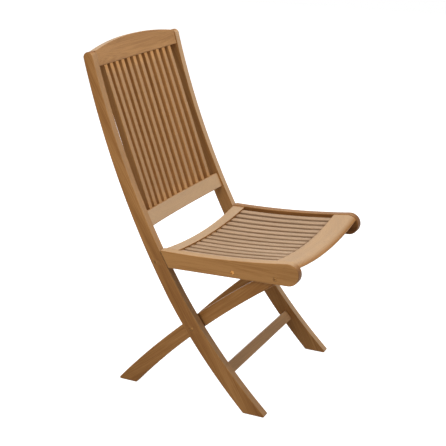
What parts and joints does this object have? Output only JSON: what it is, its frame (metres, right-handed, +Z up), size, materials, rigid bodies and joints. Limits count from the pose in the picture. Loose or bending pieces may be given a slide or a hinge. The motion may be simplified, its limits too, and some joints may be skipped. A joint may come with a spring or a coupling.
{
  "type": "folding teak side chair",
  "caption": "Folding slatted side chair without arms: curved stiles run down as front legs, crossed rear legs fold under a dished slatted seat.",
  "frame": {"origin": "on the floor, in the middle of the open chair's width and depth", "axes": "+Z up, the chair faces -Y, +X to the sitter's left"},
  "size_m": [0.48, 0.6395, 0.9669],
  "materials": {
    "teak": "oiled, satin, fine long grain",
    "teak_back_slats": "oiled, satin, grain along each slat",
    "teak_seat_slats": "dry, slightly bleached, grain along each slat",
    "brass_fittings": "dull, unlacquered",
    "steel_links": "brushed stainless"
  },
  "bodies": {
    "back_frame": {"stile_right": "teak", "stile_left": "teak", "crest_rail": "teak", "lower_back_rail": "teak", "front_stretcher": "teak", "back_slat_01": "teak_back_slats", "back_slat_02": "teak_back_slats", "back_slat_03": "teak_back_slats", "back_slat_04": "teak_back_slats", "back_slat_05": "teak_back_slats", "back_slat_06": "teak_back_slats", "back_slat_07": "teak_back_slats", "back_slat_08": "teak_back_slats", "back_slat_09": "teak_back_slats", "back_slat_10": "teak_back_slats", "back_slat_11": "teak_back_slats", "back_slat_12": "teak_back_slats", "crossing_bolts": "brass_fittings", "crossing_spacers": "brass_fittings", "link_pins": "brass_fittings"},
    "rear_legs": {"rear_leg_right": "teak", "rear_leg_left": "teak", "rear_leg_rung": "teak", "seat_pivot_bolts": "brass_fittings", "seat_pivot_spacers": "brass_fittings"},
    "seat": {"seat_side_rail_right": "teak", "seat_side_rail_left": "teak", "front_seat_rail": "teak", "rear_seat_rail": "teak", "seat_support_batten": "teak", "seat_slat_01": "teak_seat_slats", "seat_slat_02": "teak_seat_slats", "seat_slat_03": "teak_seat_slats", "seat_slat_04": "teak_seat_slats", "seat_slat_05": "teak_seat_slats", "seat_slat_06": "teak_seat_slats", "seat_slat_07": "teak_seat_slats", "seat_slat_08": "teak_seat_slats", "seat_slat_09": "teak_seat_slats", "seat_slat_10": "teak_seat_slats", "seat_slat_11": "teak_seat_slats", "seat_slat_12": "teak_seat_slats", "seat_slat_13": "teak_seat_slats", "rail_plugs": "brass_fittings"},
    "link_right": {"link_right": "steel_links"},
    "link_left": {"link_left": "steel_links"}
  },
  "joints": [
    {"name": "fold", "type": "hinge", "parent": "back_frame", "child": "rear_legs", "pos_m": [0, -0.01146, 0.21809], "axis": [-1, 0, 0], "range_deg": [0, 69]},
    {"name": "seat_hinge", "type": "hinge", "parent": "rear_legs", "child": "seat", "pos_m": [0, -0.25451, 0.40619], "axis": [1, 0, 0], "range_deg": [0, 134.2]},
    {"name": "link_right_hinge", "type": "hinge", "parent": "back_frame", "child": "link_right", "pos_m": [0, 0.09706, 0.3945], "axis": [-1, 0, 0], "range_deg": [0, 94.8]},
    {"name": "link_left_hinge", "type": "hinge", "parent": "back_frame", "child": "link_left", "pos_m": [0, 0.09706, 0.3945], "axis": [-1, 0, 0], "range_deg": [0, 94.8]}
  ],
  "couplings": [
    {"joint": "seat_hinge", "follows": "fold", "ratio": 1.9444},
    {"joint": "link_right_hinge", "follows": "fold", "ratio": 1.3729},
    {"joint": "link_left_hinge", "follows": "fold", "ratio": 1.3729}
  ]
}
